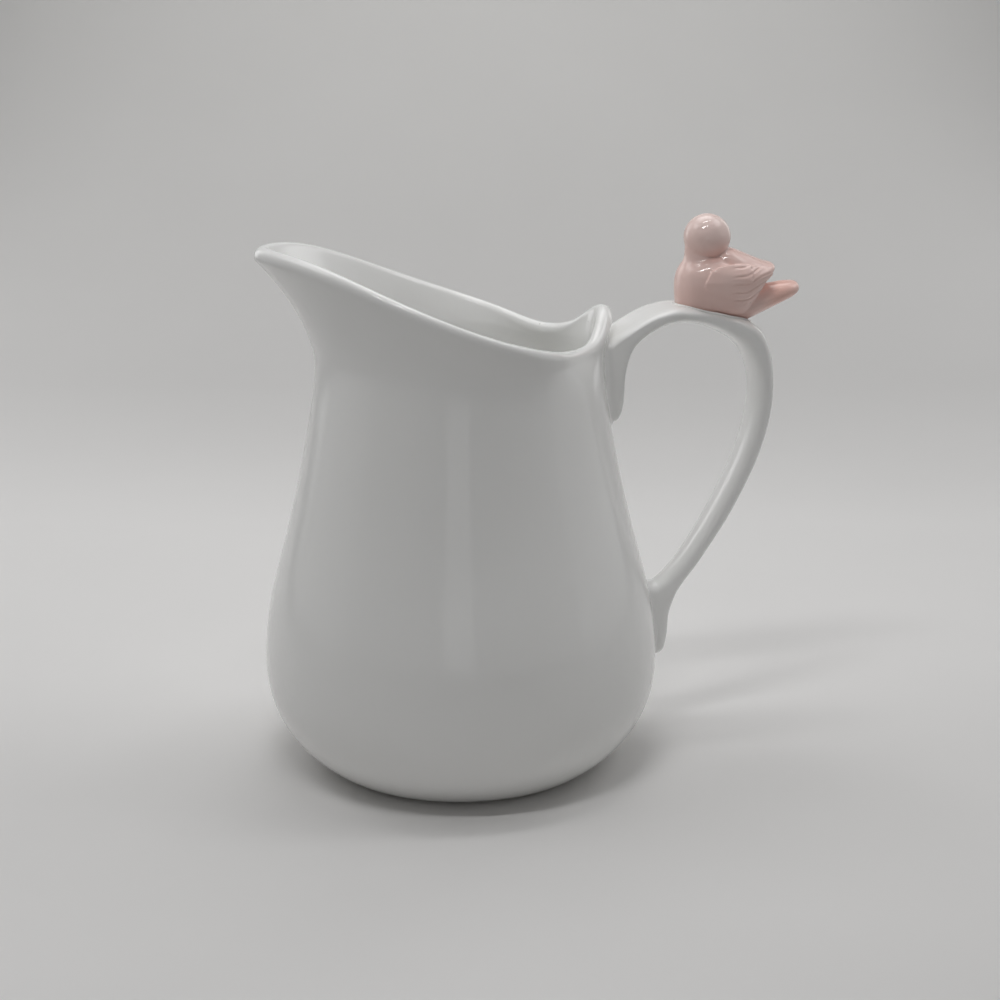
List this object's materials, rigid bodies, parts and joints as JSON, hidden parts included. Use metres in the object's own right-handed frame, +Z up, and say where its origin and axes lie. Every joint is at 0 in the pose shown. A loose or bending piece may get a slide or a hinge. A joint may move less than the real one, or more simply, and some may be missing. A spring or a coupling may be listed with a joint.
{
  "type": "creamer",
  "caption": "Round-bellied ceramic cream jug with a drawn spout, a dipping rim, a strap handle and a small bird seated on the handle's crown.",
  "frame": {"origin": "on the jug's axis, at the middle of its flat base, on the table", "axes": "+Z up, +X towards the handle, -X towards the spout, +Y to the far side as seen with the handle on the right"},
  "size_m": [0.1152, 0.083, 0.1145],
  "materials": {
    "white_glaze": "clear gloss glaze over white body",
    "pink_glaze": "pale pink gloss glaze",
    "slip": "fired luting slip under the glaze"
  },
  "bodies": {
    "root": {"jug_body": "white_glaze", "handle": "white_glaze", "bird": "pink_glaze", "upper_slip_joint": "slip", "lower_slip_joint": "slip", "bird_slip_joint": "slip"}
  },
  "joints": []
}
